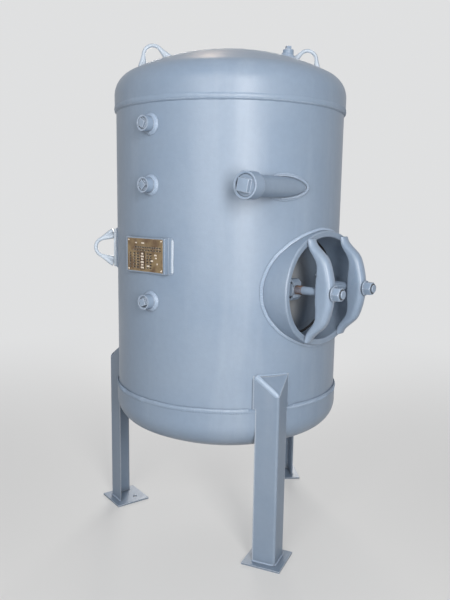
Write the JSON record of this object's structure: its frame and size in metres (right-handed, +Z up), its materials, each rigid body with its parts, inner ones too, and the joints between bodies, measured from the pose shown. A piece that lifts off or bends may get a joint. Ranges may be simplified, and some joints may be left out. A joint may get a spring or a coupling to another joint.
{
  "type": "vertical pressure tank",
  "caption": "Upright pressure tank on three angle legs, with lapped dished ends, an oval manway held by yokes, plugged couplings, a tangential inlet and lifting lugs.",
  "frame": {"origin": "the tank's vertical axis at floor level, the centre of the anchor circle", "axes": "+Z up along the tank's axis; -Y faces the viewer of the picture; +X to that viewer's right"},
  "size_m": [0.9325, 0.9135, 1.6343],
  "materials": {
    "tank_paint": "satin pale blue-grey enamel",
    "painted_weld": "the same enamel over rippled weld",
    "painted_fittings": "the same enamel over forged steel",
    "inner_paint": "thin grey coat, in the shade of the ring",
    "bolt_steel": "painted over, with rust at the inner thread",
    "gasket_rubber": "matt black",
    "brass_plate": "tarnished and stained, bare"
  },
  "bodies": {
    "root": {"shell": "tank_paint", "top_head": "tank_paint", "bottom_head": "tank_paint", "top_seam_weld": "painted_weld", "bottom_seam_weld": "painted_weld", "manway_ring": "tank_paint", "manway_weld": "painted_weld", "manway_gasket": "gasket_rubber", "manway_cover": "inner_paint", "left_clip": "inner_paint", "right_clip": "inner_paint", "left_bolt": "bolt_steel", "right_bolt": "bolt_steel", "left_yoke": "tank_paint", "right_yoke": "tank_paint", "left_washer": "painted_fittings", "right_washer": "painted_fittings", "left_nut": "painted_fittings", "right_nut": "painted_fittings", "front_leg": "tank_paint", "left_leg": "tank_paint", "rear_leg": "tank_paint", "front_foot": "tank_paint", "left_foot": "tank_paint", "rear_foot": "tank_paint", "upper_coupling": "painted_fittings", "middle_coupling": "painted_fittings", "lower_coupling": "painted_fittings", "upper_plug": "painted_fittings", "middle_plug": "painted_fittings", "lower_plug": "painted_fittings", "inlet_pipe": "tank_paint", "inlet_coupling": "painted_fittings", "inlet_plug": "painted_fittings", "inlet_weld": "painted_weld", "vent_coupling": "painted_fittings", "vent_plug": "painted_fittings", "drain_coupling": "painted_fittings", "drain_plug": "painted_fittings", "left_lifting_lug": "tank_paint", "right_lifting_lug": "tank_paint", "side_lug": "tank_paint", "nameplate_bracket": "tank_paint", "nameplate": "brass_plate"}
  },
  "joints": []
}
